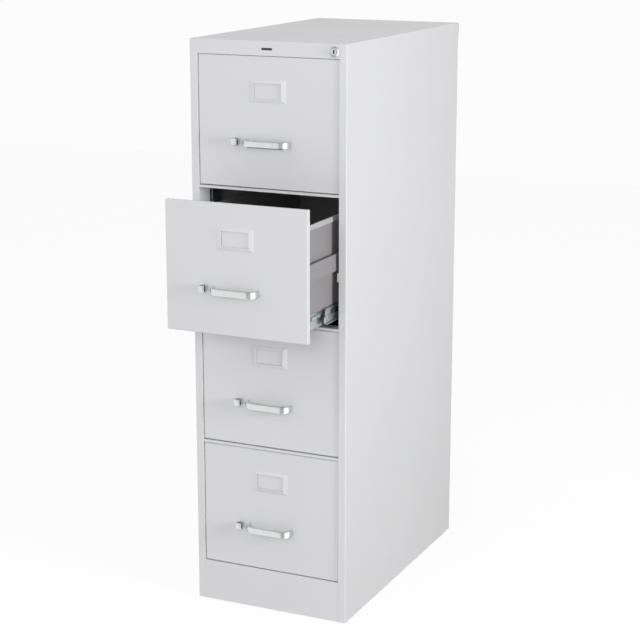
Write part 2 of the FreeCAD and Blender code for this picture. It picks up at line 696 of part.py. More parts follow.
def check():
    for item in doc.Objects:
        if "Invalid" in item.State or "Error" in item.State:
            raise RuntimeError(f"{item.Label} did not compute: {item.State}")
    for item in sub_parts:
        if item.Shape.isNull() or not item.Shape.isValid():
            raise RuntimeError(f"{item.Label} has no valid shape")


def write():
    os.makedirs("parts", exist_ok=True)
    whole = FreeCAD.BoundBox()
    for item in sub_parts:
        item.Shape.exportStep(os.path.join("parts", item.Label + ".step"))
        whole.add(item.Shape.BoundBox)
        print(f"{item.Label}: {len(item.Shape.Solids)} solids, {item.Shape.Volume / 1000:.1f} cm3")
    print(f"{len(sub_parts)} sub-parts, box {whole}")


build()
check()
write()
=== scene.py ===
"""Looks of the four-drawer vertical filing cabinet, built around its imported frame.

Small sizes are in millimetres and become metres through MM. Places come from the frame's boxes. The
sections of the drawers' slides give x from the cabinet's middle and z from the bottom edge of the
drawer's front; only the right-hand one is drawn, and the left-hand one is its mirror image.
"""

import json
from math import atan2, copysign, cos, pi, radians, sin, sqrt

import bmesh
import bpy
from mathutils import Matrix, Vector


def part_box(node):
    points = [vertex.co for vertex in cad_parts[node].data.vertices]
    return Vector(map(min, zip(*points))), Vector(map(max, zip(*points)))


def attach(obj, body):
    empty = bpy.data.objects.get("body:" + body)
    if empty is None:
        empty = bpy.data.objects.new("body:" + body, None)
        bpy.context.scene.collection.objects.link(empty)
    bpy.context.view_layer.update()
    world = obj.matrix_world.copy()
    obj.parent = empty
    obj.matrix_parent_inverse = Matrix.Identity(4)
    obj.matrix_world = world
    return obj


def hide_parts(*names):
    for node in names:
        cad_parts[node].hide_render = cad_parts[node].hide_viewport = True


MM = 0.001
DRAWERS = (1, 2, 3, 4)

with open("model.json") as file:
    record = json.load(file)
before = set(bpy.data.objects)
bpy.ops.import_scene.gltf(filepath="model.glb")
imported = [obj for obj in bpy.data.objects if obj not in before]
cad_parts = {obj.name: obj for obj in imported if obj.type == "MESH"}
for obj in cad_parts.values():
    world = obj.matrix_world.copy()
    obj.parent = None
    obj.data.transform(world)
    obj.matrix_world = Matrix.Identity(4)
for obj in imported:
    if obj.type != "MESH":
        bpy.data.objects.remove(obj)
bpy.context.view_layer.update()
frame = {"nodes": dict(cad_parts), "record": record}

case_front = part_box("kick_panel")[0].y

BACKDROP_LEVEL = 0.972  # what the camera sees of the world
SOFT_LEVEL = 1.32       # light that falls on paint and plastic
SHINE_LEVEL = 2.0       # strips that metal mirrors
FLOOR_GLOW = 0.892      # brings the lit floor to the backdrop's level
FLOOR_HALF = 6.0        # metres from the middle to the floor's edge

GLIDE_PAD_TOP = 5.2     # the glides are plastic below this height and zinc above
LUG_REACH = 171         # the lock bar's lugs stand inwards of this x
LUG_TOP = 1200          # and below this height, which leaves out the bar's slotted tab
HEM_START = 155.3       # the side extensions' hems stand outwards of this x
SLIVER = 0.01           # gap that keeps two shells of one piece from sharing a face


# ---------------------------------------------------------------- camera, floor and light
def set_camera():
    """Long lens at eye height, ahead and to the right, turned and tipped down to the cabinet."""
    data = bpy.data.cameras.new("camera")
    data.lens = 97.5
    data.sensor_width = 36
    camera = bpy.data.objects.new("camera", data)
    camera.location = (1.691, -3.626, 1.641)
    camera.rotation_euler = (radians(90 - 13.98), 0, radians(24.83))
    bpy.context.scene.collection.objects.link(camera)
    bpy.context.scene.camera = camera


def set_world():
    """Pale studio: white to the camera, soft light for paint, and bright and dark strips for metal."""
    world = bpy.data.worlds.new("studio")
    bpy.context.scene.world = world
    world.use_nodes = True
    tree = world.node_tree
    tree.nodes.clear()
    coords = tree.nodes.new("ShaderNodeTexCoord")
    split = tree.nodes.new("ShaderNodeSeparateXYZ")
    tree.links.new(coords.outputs["Generated"], split.inputs[0])

    def math(kind, first, second=None):
        node = tree.nodes.new("ShaderNodeMath")
        node.operation = kind
        for socket, value in zip(node.inputs, (first, second)):
            if isinstance(value, (int, float)):
                socket.default_value = value
            elif value is not None:
                tree.links.new(value, socket)
        return node.outputs[0]

    def ramp(position, stops):
        node = tree.nodes.new("ShaderNodeValToRGB")
        node.color_ramp.interpolation = "EASE"
        while len(node.color_ramp.elements) < len(stops):
            node.color_ramp.elements.new(0.5)
        for element, (place, grey) in zip(node.color_ramp.elements, stops):
            element.position = place
            element.color = (grey, grey, grey, 1)
        tree.links.new(position, node.inputs[0])
        return node.outputs[0]

    def backdrop(strength):
        node = tree.nodes.new("ShaderNodeBackground")
        node.inputs["Color"].default_value = (1, 1, 1, 1)
        if isinstance(strength, float):
            node.inputs["Strength"].default_value = strength
        else:
            tree.links.new(strength, node.inputs["Strength"])
        return node.outputs[0]

    def choose(share, first, second):
        node = tree.nodes.new("ShaderNodeMixShader")
        tree.links.new(share, node.inputs[0])
        tree.links.new(first, node.inputs[1])
        tree.links.new(second, node.inputs[2])
        return node.outputs[0]

    ahead = math("MULTIPLY", split.outputs["Y"], -1)
    turn = math("ARCTAN2", split.outputs["X"], ahead)
    around = math("MULTIPLY_ADD", turn, 1 / (2 * pi))
    around.node.inputs[2].default_value = 0.5
    height = math("MULTIPLY_ADD", split.outputs["Z"], 0.5)
    height.node.inputs[2].default_value = 0.5

    def light(level, sides, rise):
        """Sides: light by degrees from straight ahead of the drawers; rise: from down to up."""
        across = ramp(around, [(0.5 + degrees / 360, grey) for degrees, grey in sides])
        return backdrop(math("MULTIPLY", math("MULTIPLY", across, ramp(height, rise)), level))

    soft = light(SOFT_LEVEL,
                 [(-180, 0.50), (-105, 0.66), (-50, 0.88), (0, 0.80), (25, 0.42), (60, 0.15),
                  (105, 0.16), (150, 0.32)],
                 [(0.0, 0.78), (0.42, 0.80), (0.60, 0.92), (0.78, 1.0), (0.90, 0.96), (1.0, 0.90)])
    shine = light(SHINE_LEVEL,
                  [(-180, 0.36), (-105, 0.45), (-50, 0.54), (-22, 0.53), (-10, 0.28), (20, 0.26),
                   (36, 0.40), (56, 1.0), (96, 1.0), (118, 0.50), (140, 0.42), (165, 0.42)],
                  [(0.0, 1.0), (0.30, 1.0), (0.60, 0.95), (0.76, 0.74), (0.88, 0.50), (1.0, 0.42)])
    path = tree.nodes.new("ShaderNodeLightPath")
    lit = choose(path.outputs["Is Glossy Ray"], soft, shine)
    seen = choose(path.outputs["Is Camera Ray"], lit, backdrop(BACKDROP_LEVEL))
    output = tree.nodes.new("ShaderNodeOutputWorld")
    tree.links.new(seen, output.inputs["Surface"])


def area_light(name, place, aim, size, watts):
    """Soft box that metal doesn't mirror: the studio's strips do that."""
    data = bpy.data.lights.new(name, "AREA")
    data.shape = "SQUARE"
    data.size = size
    data.energy = watts
    lamp = bpy.data.objects.new(name, data)
    lamp.location = place
    lamp.rotation_euler = (Vector(aim) - Vector(place)).to_track_quat("-Z", "Y").to_euler()
    lamp.visible_glossy = False
    bpy.context.scene.collection.objects.link(lamp)


def set_stage():
    """Plain colours, three soft boxes, and a floor that nothing mirrors or takes light from."""
    bpy.context.scene.view_settings.view_transform = "Standard"
    mesh = bpy.data.meshes.new("floor")
    mesh.from_pydata([(x, y, 0) for x, y in rectangle(FLOOR_HALF, FLOOR_HALF)], [], [(0, 1, 2, 3)])
    floor = bpy.data.objects.new("floor", mesh)
    bpy.context.scene.collection.objects.link(floor)
    paint, _, shader, _ = new_material("pale_floor")
    shader.inputs["Base Color"].default_value = (0.10, 0.10, 0.10, 1)
    shader.inputs["Roughness"].default_value = 0.9
    shader.inputs["Specular IOR Level"].default_value = 0.0
    shader.inputs["Emission Color"].default_value = (1, 1, 1, 1)
    shader.inputs["Emission Strength"].default_value = FLOOR_GLOW
    floor.data.materials.append(paint)
    floor.visible_glossy = False
    floor.visible_diffuse = False
    area_light("key", (3.1, -0.8, 1.25), (0.19, -0.1, 0.80), 1.0, 78)
    area_light("front_fill", (1.1, -3.6, 1.75), (0.0, -0.3, 0.80), 1.2, 33)
    area_light("overhead", (0.3, 0.1, 3.6), (0.0, 0.1, 1.3), 1.4, 15)


# ---------------------------------------------------------------- materials
def new_material(name):
    paint = bpy.data.materials.new(name)
    paint.use_nodes = True
    tree = paint.node_tree
    shader = next(node for node in tree.nodes if node.type == "BSDF_PRINCIPLED")
    coords = tree.nodes.new("ShaderNodeTexCoord")
    return paint, tree, shader, coords.outputs["Object"]


def noise(tree, coords, scale, detail=2.0, stretch=(1, 1, 1)):
    """Grey noise fixed to the piece; stretch slows it along some axes."""
    mapping = tree.nodes.new("ShaderNodeMapping")
    mapping.inputs["Scale"].default_value = stretch
    tree.links.new(coords, mapping.inputs["Vector"])
    node = tree.nodes.new("ShaderNodeTexNoise")
    node.inputs["Scale"].default_value = scale
    node.inputs["Detail"].default_value = detail
    tree.links.new(mapping.outputs[0], node.inputs["Vector"])
    return node.outputs["Fac"]


def spread(tree, grey, low, high, contrast=0.25):
    """Map the middle of a noise to the range from low to high."""
    node = tree.nodes.new("ShaderNodeMapRange")
    node.inputs["From Min"].default_value = 0.5 - contrast
    node.inputs["From Max"].default_value = 0.5 + contrast
    node.inputs["To Min"].default_value = low
    node.inputs["To Max"].default_value = high
    tree.links.new(grey, node.inputs["Value"])
    return node.outputs["Result"]


def blend_colours(tree, share, first, second):
    node = tree.nodes.new("ShaderNodeMix")
    node.data_type = "RGBA"
    tree.links.new(share, node.inputs["Factor"])
    node.inputs["A"].default_value = (*first, 1)
    node.inputs["B"].default_value = (*second, 1)
    return node.outputs["Result"]


def bump(tree, shader, grey, distance, strength=1.0):
    node = tree.nodes.new("ShaderNodeBump")
    node.inputs["Strength"].default_value = strength
    node.inputs["Distance"].default_value = distance
    tree.links.new(grey, node.inputs["Height"])
    tree.links.new(node.outputs["Normal"], shader.inputs["Normal"])


def painted(name, light, dark, rough, peel=0.00003):
    """Sprayed or powder-coated sheet: orange peel, faint cloudiness, uneven gloss."""
    paint, tree, shader, coords = new_material(name)
    clouds = spread(tree, noise(tree, coords, 3.0, 4.0), 0, 1)
    tree.links.new(blend_colours(tree, clouds, light, dark), shader.inputs["Base Color"])
    gloss = noise(tree, coords, 14.0, 3.0)
    tree.links.new(spread(tree, gloss, rough - 0.04, rough + 0.05), shader.inputs["Roughness"])
    bump(tree, shader, noise(tree, coords, 520.0, 2.0), peel)
    return paint


def metal(name, light, dark, rough, grain, scale, groove=0.000004):
    """Bare or plated metal with a fine grain that runs along the axes that grain slows."""
    paint, tree, shader, coords = new_material(name)
    shader.inputs["Metallic"].default_value = 1.0
    patches = spread(tree, noise(tree, coords, 60.0, 4.0), 0, 1)
    tree.links.new(blend_colours(tree, patches, light, dark), shader.inputs["Base Color"])
    lines = noise(tree, coords, scale, 3.0, grain)
    tree.links.new(spread(tree, lines, rough - 0.05, rough + 0.07), shader.inputs["Roughness"])
    bump(tree, shader, lines, groove)
    return paint


def moulded(name, light, dark, rough, texture=0.00002):
    """Moulded plastic with a fine spark-eroded skin."""
    paint, tree, shader, coords = new_material(name)
    shader.inputs["Specular IOR Level"].default_value = 0.3
    clouds = spread(tree, noise(tree, coords, 90.0, 3.0), 0, 1)
    tree.links.new(blend_colours(tree, clouds, light, dark), shader.inputs["Base Color"])
    skin = noise(tree, coords, 1600.0, 2.0)
    tree.links.new(spread(tree, skin, rough - 0.06, rough + 0.06), shader.inputs["Roughness"])
    bump(tree, shader, skin, texture)
    return paint


case_paint = painted("case_paint", (0.660, 0.662, 0.672), (0.640, 0.641, 0.652), 0.42)
drawer_paint = painted("drawer_paint", (0.275, 0.262, 0.272), (0.250, 0.238, 0.247), 0.48)
rail_paint = painted("rail_paint", (0.450, 0.445, 0.450), (0.425, 0.420, 0.425), 0.46)
zinc = metal("zinc", (0.62, 0.66, 0.64), (0.50, 0.55, 0.53), 0.34, (1, 0.04, 1), 900.0)
chrome = metal("bright_chrome", (0.75, 0.768, 0.760), (0.69, 0.71, 0.70), 0.24, (0.03, 1, 1), 1400.0)
nylon = moulded("nylon", (0.86, 0.86, 0.84), (0.80, 0.80, 0.78), 0.42)
grey_plastic = moulded("grey_plastic", (0.130, 0.130, 0.134), (0.100, 0.100, 0.104), 0.5)
# real black plastic on the glides and stops; also painted shade on the keyway's walls and in the middle
# member's recess
black_plastic_and_shade = moulded("black_plastic_and_shade", (0.030, 0.040, 0.044), (0.018, 0.024, 0.027), 0.45)
badge_finish = moulded("badge_finish", (0.060, 0.060, 0.065), (0.040, 0.040, 0.044), 0.38)
slot_paint = {"case_paint": case_paint, "drawer_paint": drawer_paint, "zinc": zinc,
              "bright_chrome": chrome, "glide_plastic": black_plastic_and_shade, "badge_finish": badge_finish}


def paint_frame():
    """Every CAD node takes its record slot's material."""
    slots = {part["node"]: part["material_slot"] for part in frame["record"]["subparts"]}
    for name, node in frame["nodes"].items():
        node.data.materials.clear()
        node.data.materials.append(slot_paint[slots[name]])


def second_paint(name, paint, belongs):
    """Give a CAD node's faces a second material where belongs(centre of the face) is true."""
    mesh = frame["nodes"][name].data
    mesh.materials.append(paint)
    for face in mesh.polygons:
        if belongs(face.center):
            face.material_index = 1


# ---------------------------------------------------------------- mesh helpers
def finish_mesh(name, mesh, paint, body, sharp):
    """Turn a bmesh in millimetres into a piece that rides on a body; sharp is in degrees."""
    bmesh.ops.remove_doubles(mesh, verts=mesh.verts, dist=0.0005)
    bmesh.ops.recalc_face_normals(mesh, faces=mesh.faces)
    data = bpy.data.meshes.new(name)
    mesh.to_mesh(data)
    mesh.free()
    data.transform(Matrix.Scale(MM, 4))
    piece = bpy.data.objects.new(name, data)
    bpy.context.scene.collection.objects.link(piece)
    piece.data.materials.append(paint)
    piece.data.shade_smooth()
    piece.data.set_sharp_from_angle(angle=radians(sharp))
    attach(piece, body)
    return piece


def in_mm(box):
    """A box's low and high corner in millimetres."""
    low, high = box
    return low / MM, high / MM


def rectangle(half_wide, half_tall):
    return [(-half_wide, -half_tall), (half_wide, -half_tall), (half_wide, half_tall),
            (-half_wide, half_tall)]


def circle(radius, sides):
    return [(radius * cos(2 * pi * step / sides), radius * sin(2 * pi * step / sides))
            for step in range(sides)]


def skin_loops(mesh, loops, closed=False):
    """Quads between neighbouring loops of points; ends are capped unless the loops close."""
    rows = [[mesh.verts.new(point) for point in loop] for loop in loops]
    count = len(rows[0])
    pairs = list(zip(rows, rows[1:] + rows[:1])) if closed else list(zip(rows, rows[1:]))
    for first, second in pairs:
        for index in range(count):
            after = (index + 1) % count
            mesh.faces.new((first[index], first[after], second[after], second[index]))
    if not closed:
        mesh.faces.new(rows[0][::-1])
        mesh.faces.new(rows[-1])


def rounded(points, radius, steps=4):
    """A polygon's points with each corner turned into an arc; radius is one size or one each."""
    count = len(points)
    radii = radius if isinstance(radius, (list, tuple)) else [radius] * count
    result = []
    for index, (point, size) in enumerate(zip(points, radii)):
        corner = Vector(point)
        before = Vector(points[index - 1]) - corner
        after = Vector(points[(index + 1) % count]) - corner
        if size <= 0:
            result.append(tuple(corner))
            continue
        half = before.angle(after) / 2
        reach = min(size / abs(sin(half) / cos(half)), before.length * 0.45, after.length * 0.45)
        size = reach * abs(sin(half) / cos(half))
        centre = corner + (before.normalized() + after.normalized()).normalized() * size / sin(half)
        start = corner + before.normalized() * reach - centre
        end = corner + after.normalized() * reach - centre
        turn = start.angle_signed(end)
        for step in range(steps + 1):
            angle = -turn * step / steps
            result.append((centre.x + start.x * cos(angle) - start.y * sin(angle),
                           centre.y + start.x * sin(angle) + start.y * cos(angle)))
    return result


def extrude_along_y(mesh, outline, start, end):
    """A solid whose outline, in x and z, runs from y = start to y = end."""
    skin_loops(mesh, [[(x, y, z) for x, z in outline] for y in (start, end)])


def extrude_along_x(mesh, outline, start, end):
    """The same for an outline in y and z."""
    skin_loops(mesh, [[(x, y, z) for y, z in outline] for x in (start, end)])


def move(mesh, offset):
    bmesh.ops.translate(mesh, verts=mesh.verts, vec=offset)


def mirror_copy(mesh):
    """Add the mesh's mirror image on the other side of x = 0."""
    made = bmesh.ops.duplicate(mesh, geom=mesh.verts[:] + mesh.edges[:] + mesh.faces[:])
    verts = [item for item in made["geom"] if isinstance(item, bmesh.types.BMVert)]
    for vert in verts:
        vert.co.x = -vert.co.x
    bmesh.ops.reverse_faces(mesh, faces=[item for item in made["geom"]
                                         if isinstance(item, bmesh.types.BMFace)])


def carved(mesh, cutters):
    """The mesh less the cutters, each a bmesh; all are used up."""
    body = loose_object(mesh)
    tool = bmesh.new()
    for cutter in cutters:
        data = bpy.data.meshes.new("cutter")
        cutter.to_mesh(data)
        cutter.free()
        tool.from_mesh(data)
        bpy.data.meshes.remove(data)
    tool_object = loose_object(tool)
    cut = body.modifiers.new("cut", "BOOLEAN")
    cut.operation = "DIFFERENCE"
    cut.solver = "EXACT"
    cut.object = tool_object
    bpy.context.view_layer.update()
    result = bpy.data.meshes.new_from_object(body.evaluated_get(bpy.context.evaluated_depsgraph_get()))
    for leftover in (body, tool_object):
        data = leftover.data
        bpy.data.objects.remove(leftover)
        bpy.data.meshes.remove(data)
    carved_mesh = bmesh.new()
    carved_mesh.from_mesh(result)
    bpy.data.meshes.remove(result)
    return carved_mesh


def loose_object(mesh):
    bmesh.ops.recalc_face_normals(mesh, faces=mesh.faces)
    data = bpy.data.meshes.new("loose")
    mesh.to_mesh(data)
    mesh.free()
    item = bpy.data.objects.new("loose", data)
    bpy.context.scene.collection.objects.link(item)
    return item


def peg(axis, centre, radius, length, sides=24):
    """Cylinder cutter centred on a point, along x or y."""
    mesh = bmesh.new()
    bmesh.ops.create_cone(mesh, cap_ends=True, segments=sides, radius1=radius, radius2=radius, depth=length)
    turn = Matrix.Rotation(pi / 2, 3, "Y" if axis == "x" else "X")
    bmesh.ops.rotate(mesh, verts=mesh.verts, matrix=turn, cent=(0, 0, 0))
    move(mesh, centre)
    return mesh


def block(low, high):
    """Box between two corners."""
    mesh = bmesh.new()
    bmesh.ops.create_cube(mesh, size=1.0)
    low, high = Vector(low), Vector(high)
    bmesh.ops.scale(mesh, verts=mesh.verts, vec=high - low)
    move(mesh, (low + high) / 2)
    return mesh


def slot_cutter(x_low, x_high, y, z, length, wide):
    """Long hole through a sheet that faces x, with round ends along y."""
    reach = (length - wide) / 2
    steps = 8
    outline = []
    for end in (1, -1):
        for step in range(steps + 1):
            angle = end * pi / 2 - pi * step / steps
            outline.append((y + end * reach + wide / 2 * cos(angle), z + wide / 2 * sin(angle)))
    mesh = bmesh.new()
    extrude_along_x(mesh, outline, x_low, x_high)
    return mesh


def drawer_corner(number):
    """Lower left corner of a drawer's front, on its outer face, in millimetres."""
    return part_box(f"drawer_front_{number}")[0] / MM


# ---------------------------------------------------------------- handle and label frame
def bow_handle(number):
    """Cast bow: a crowned strap that leaves the front, bends, crosses and returns."""
    low, high = in_mm(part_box(f"handle_{number}"))
    thick = 7.0
    bend = 17.0
    bend_steps = 14
    middle_steps = 6
    tall = high.z - low.z
    half = (high.x - low.x - thick) / 2
    root = high.y
    out = low.y + thick / 2
    left = [(-half, root), (-half, root - 1.5), (-half, (root + out + bend) / 2)]
    for step in range(bend_steps + 1):
        angle = pi / 2 * step / bend_steps
        left.append((-half + bend - bend * cos(angle), out + bend - bend * sin(angle)))
    middle = [(left[-1][0] * (1 - 2 * share / middle_steps), out) for share in range(1, middle_steps)]
    path = left + middle + [(-x, y) for x, y in left[::-1]]
    mesh = bmesh.new()
    loops = []
    for index, (x, y) in enumerate(path):
        before = path[max(index - 1, 0)]
        after = path[min(index + 1, len(path) - 1)]
        heading = atan2(after[1] - before[1], after[0] - before[0])
        across = Vector((sin(heading), -cos(heading), 0))
        loops.append(strap_section(Vector((x, y, (low.z + high.z) / 2)), across, thick, tall))
    skin_loops(mesh, loops)
    piece = finish_mesh(f"bow_handle_{number}", mesh, chrome, f"drawer_{number}", 40)
    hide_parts(f"handle_{number}")


def strap_section(centre, across, thick, tall):
    """Superellipse: a flat oval with crowned faces and softly rounded edges."""
    count = 36
    power = 2 / 3.4
    points = []
    for index in range(count):
        angle = 2 * pi * index / count
        x = copysign(abs(cos(angle)) ** power, cos(angle))
        z = copysign(abs(sin(angle)) ** power, sin(angle))
        points.append(centre + across * (x * thick / 2) + Vector((0, 0, z * tall / 2)))
    return points


def label_frame(number):
    """Stamped card frame: its four sides slope up to the window like a picture frame."""
    low, high = in_mm(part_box(f"label_holder_{number}"))
    centre = (low + high) / 2
    wide, tall = (high.x - low.x) / 2, (high.z - low.z) / 2
    full = high.y - low.y
    window_wide, window_tall = 33.0, 17.0   # half sizes of the window
    space = 1.25                            # depth of the card's space behind the frame
    # half width, half height, height above the drawer's face, corner radius
    rings = [(wide, tall, 0.0, 2.0), (wide, tall, 0.45, 2.0), (wide - 0.35, tall - 0.35, 0.7, 1.8),
             (window_wide + 0.9, window_tall + 0.9, full - 0.12, 1.2),
             (window_wide + 0.45, window_tall + 0.45, full, 1.0),
             (window_wide + 0.1, window_tall + 0.1, full - 0.15, 0.8),
             (window_wide, window_tall, full - 0.5, 0.7), (window_wide, window_tall, space, 0.7),
             (wide - 5, tall - 3, space, 0.7), (wide - 5, tall - 3, 0.0, 0.7)]
    loops = []
    for half_wide, half_tall, height, corner in rings:
        loops.append([(centre.x + x, high.y - height, centre.z + z)
                      for x, z in rounded(rectangle(half_wide, half_tall), corner)])
    mesh = bmesh.new()
    skin_loops(mesh, loops, closed=True)
    piece = finish_mesh(f"label_frame_{number}", mesh, case_paint, f"drawer_{number}", 25)
    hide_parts(f"label_holder_{number}")


def badge_plate():
    """Plain plate on the header, with a rounded edge."""
    low, high = in_mm(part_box("badge"))
    centre = (low + high) / 2
    wide, tall = (high.x - low.x) / 2, (high.z - low.z) / 2
    thick = high.y - low.y
    loops = []
    for inset, height in ((0, 0), (0, thick * 0.55), (0.12, thick * 0.85), (0.4, thick), (1.6, thick)):
        loops.append([(centre.x + x, high.y - height, centre.z + z)
                      for x, z in rounded(rectangle(wide - inset, tall - inset), 0.9)])
    mesh = bmesh.new()
    skin_loops(mesh, loops)
    piece = finish_mesh("badge_plate", mesh, badge_finish, "case", 40)
    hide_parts("badge")


# ---------------------------------------------------------------- lock and latch
def lathe_along_y(mesh, profile, centre, sides=64):
    """Closed ring of revolution; the profile is radius and y."""
    loops = []
    for index in range(sides):
        angle = 2 * pi * index / sides
        loops.append([(centre.x + radius * cos(angle), y, centre.z + radius * sin(angle))
                      for radius, y in profile])
    skin_loops(mesh, loops, closed=True)


def lock_collar():
    """Stepped collar in the header: bevelled rim, raised ring, and a groove round the plug."""
    low, high = in_mm(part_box("lock_housing"))
    centre = (low + high) / 2
    face = case_front / MM
    rim = (high.x - low.x) / 2
    out = face - low.y
    back = high.y - face
    barrel, hole = 9.5, 7.45    # radii of the barrel and of the hole for the plug
    # radius, and y from the case's front face
    profile = [(rim, 0), (rim, -0.25 * out), (rim - 0.5, -0.45 * out), (rim - 2.1, -0.95 * out),
               (rim - 2.7, -out), (rim - 3.3, -0.97 * out), (hole + 0.75, -0.86 * out),
               (hole + 0.55, -0.6 * out), (hole, -0.6 * out), (hole, back), (barrel, back), (barrel, 0)]
    mesh = bmesh.new()
    lathe_along_y(mesh, [(radius, face + along) for radius, along in profile], centre)
    piece = finish_mesh("lock_collar", mesh, chrome, "case", 35)
    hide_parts("lock_housing")


def lock_core():
    """Turning plug: crowned face, real keyway whose walls carry painted shade in black, crank and pin
    behind.
    """
    low, high = in_mm(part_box("lock_housing"))
    centre = (low + high) / 2
    front, back = low.y + 0.6, high.y + 0.5
    radius = 7.3
    mesh = bmesh.new()
    # share of the radius, and y
    steps = ((0.35, front), (0.86, front), (0.93, front + 0.12), (0.98, front + 0.45),
             (1.0, front + 0.8), (1.0, back))
    skin_loops(mesh, [[(centre.x + x, y, centre.z + z) for x, z in circle(size * radius, 48)]
                      for size, y in steps])

    narrow, broad, tall = 1.6, 2.3, 4.7     # half widths of the keyway and its wards, half height
    slot = [(-narrow, -tall), (narrow, -tall), (narrow, 0.4), (broad, 0.4), (broad, 2.2), (narrow, 2.2),
            (narrow, tall), (-narrow, tall), (-narrow, -0.9), (-broad, -0.9), (-broad, -2.4),
            (-narrow, -2.4)]
    keyway = bmesh.new()
    extrude_along_y(keyway, [(centre.x + x, centre.z + z) for x, z in slot], front - 1, front + 3.4)
    mesh = carved(mesh, [keyway])

    throw = 9                               # from the plug's axis to the pin's
    reach = throw * sqrt(0.5)
    arm = rounded([(-2, -2), (2, -2), (2, throw + 2), (-2, throw + 2)], 1.9)
    turn = -pi / 4
    outline = [(centre.x + x * cos(turn) - z * sin(turn), centre.z + x * sin(turn) + z * cos(turn))
               for x, z in arm]
    extrude_along_y(mesh, outline, back + SLIVER, back + 2)
    add_mesh(mesh, peg("y", (centre.x + reach, back + 3.5, centre.z + reach), 1.95, 3))

    piece = finish_mesh("lock_core", mesh, chrome, "lock_plug", 35)
    piece.data.materials.append(black_plastic_and_shade)
    # painted shade: the keyway's walls take the black material so the slot reads as a dark hollow
    for side in piece.data.polygons:
        place = side.center / MM
        keyway_shade = abs(place.x - centre.x) < broad + 0.1 and abs(place.z - centre.z) < tall + 0.1
        if keyway_shade and front + 0.1 < place.y < front + 4:
            side.material_index = 1
    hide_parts("lock_plug")


def add_mesh(mesh, other):
    """Put another bmesh's faces into this one; the other is used up."""
    data = bpy.data.meshes.new("part")
    other.to_mesh(data)
    other.free()
    mesh.from_mesh(data)
    bpy.data.meshes.remove(data)


def latch_button(number):
    """Thumb button with a crowned face on a narrower neck, its stem, and the bar behind the front."""
    low, high = in_mm(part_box(f"thumb_latch_{number}"))
    wide, tall = 14.0, 16.0
    neck_root, neck_end = 8.05, 16.15   # distances out from the drawer's face
    stem_end, bar_back = 7, 10          # distances behind it
    tip, half, taper = 3, 5.5, 4        # the bar's half height at its tip and behind, taper's length
    face = drawer_corner(number).y
    centre = Vector((high.x - wide / 2, 0, (low.z + high.z) / 2))
    mesh = bmesh.new()
    loops = []
    # inset from the button's outline, and distance out from the drawer's face
    for inset, out in ((0.7, 0.8), (0.7, 8.0), (0.5, 8.1), (0.4, 16.0), (0.0, 16.1), (0.0, 17.4),
                       (0.25, 18.1), (0.7, 18.6), (1.4, 18.9), (3.0, 19.0)):
        corner = max(0.4, 2.4 - 0.4 * inset)
        loops.append([(centre.x + x, face - out, centre.z + z)
                      for x, z in rounded(rectangle(wide / 2 - inset, tall / 2 - inset), corner)])
    skin_loops(mesh, loops)
    left = high.x - wide
    add_mesh(mesh, block((left + 1, face - 0.8, low.z + 4), (left + 5.5, face + stem_end, high.z - 4)))
    bar = bmesh.new()
    ends = [(low.x, centre.z - tip), (low.x + taper, centre.z - half), (high.x, centre.z - half),
            (high.x, centre.z + half), (low.x + taper, centre.z + half), (low.x, centre.z + tip)]
    extrude_along_y(bar, rounded(ends, 0.8), face + stem_end + SLIVER, face + bar_back)
    add_mesh(mesh, bar)
    name = f"latch_button_{number}"
    piece = finish_mesh(name, mesh, chrome, f"thumb_latch_{number}", 35)
    piece.data.materials.append(zinc)
    piece.data.materials.append(grey_plastic)
    for side in piece.data.polygons:
        out = face - side.center.y / MM
        if out < -2:
            side.material_index = 1
        elif neck_root < out < neck_end:
            side.material_index = 2
    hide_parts(f"thumb_latch_{number}")


# ---------------------------------------------------------------- drawer slides
def drawer_track(number):
    """Rolled hat track on each side of the drawer, with its slots and rivet holes."""
    low, high = in_mm(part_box(f"slide_drawer_members_{number}"))
    base = drawer_corner(number).z
    front = low.y
    sheet = 1.0
    inner, outer = 155.02, 156.0            # faces of the flanges that lie on the drawer's side
    crown = 160.6                           # outer face of the raised rib
    foot, top = 20.5, 54
    rib_foot, rib_top = 41.3, 48.7
    middle = (rib_foot + rib_top) / 2
    outline = [(inner, foot), (inner, rib_foot + sheet), (crown - sheet, rib_foot + sheet),
               (crown - sheet, rib_top - sheet), (inner, rib_top - sheet), (inner, top), (outer, top),
               (outer, rib_top), (crown, rib_top), (crown, rib_foot), (outer, rib_foot), (outer, foot)]
    radii = [0, 0.9, 0.4, 0.4, 0.9, 0, 0, 0.4, 1.2, 1.2, 0.4, 0]
    mesh = bmesh.new()
    extrude_along_y(mesh, [(x, base + z) for x, z in rounded(outline, radii)], front, high.y)
    cutters = [slot_cutter(157, 163, front + 26, base + up, 9.5, 1.7)
               for up in (middle - 1.5, middle + 1.5)]
    for along in (58, 150, 300, 450, 590):
        cutters.append(peg("x", (160, front + along, base + middle), 2.1, 6))
    # closed pockets at the welds, inside the upper flange's thickness, so they don't show
    for along in (75, 225, 375, 525):
        cutters.append(peg("x", (155.5, front + along, base + 51.3), 1.7, 0.6))
    mesh = carved(mesh, cutters)
    mirror_copy(mesh)
    piece = finish_mesh(f"drawer_track_{number}", mesh, zinc, f"drawer_{number}", 35)
    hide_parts(f"slide_drawer_members_{number}")


WEB = 161.4         # inner and outer face of the middle member's web
WEB_OUTER = 162.4
MIDDLE_FOOT = 18.5  # lowest and highest edge of the middle member
MIDDLE_TOP = 53.5
HOLE_ALONG = 16     # the round hole's middle, behind the member's front end and up
HOLE_UP = 36
STRAP = 0.9         # thickness of the middle member's flanges
LIP = 0.8           # and of their turned edges


